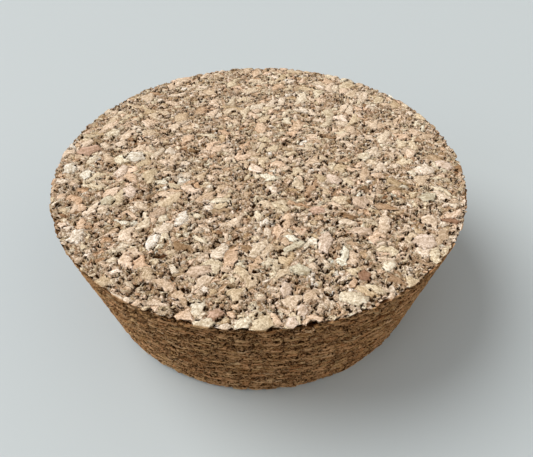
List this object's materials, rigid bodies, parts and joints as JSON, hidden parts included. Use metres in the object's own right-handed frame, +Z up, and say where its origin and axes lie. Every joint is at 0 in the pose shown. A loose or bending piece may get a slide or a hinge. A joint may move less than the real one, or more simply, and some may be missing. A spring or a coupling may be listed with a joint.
{
  "type": "cork stopper",
  "caption": "Wide, low, tapered stopper of pressed cork granules, wider at the top, for closing a jar or pot.",
  "frame": {"origin": "centre of the small face, which the stopper stands on", "axes": "+Z up along the taper's axis, towards the wide face; -Y towards the side that the picture shows"},
  "size_m": [0.1198, 0.1198, 0.04],
  "materials": {
    "agglomerated_cork": "matte"
  },
  "bodies": {
    "root": {"cork_stopper": "agglomerated_cork"}
  },
  "joints": []
}
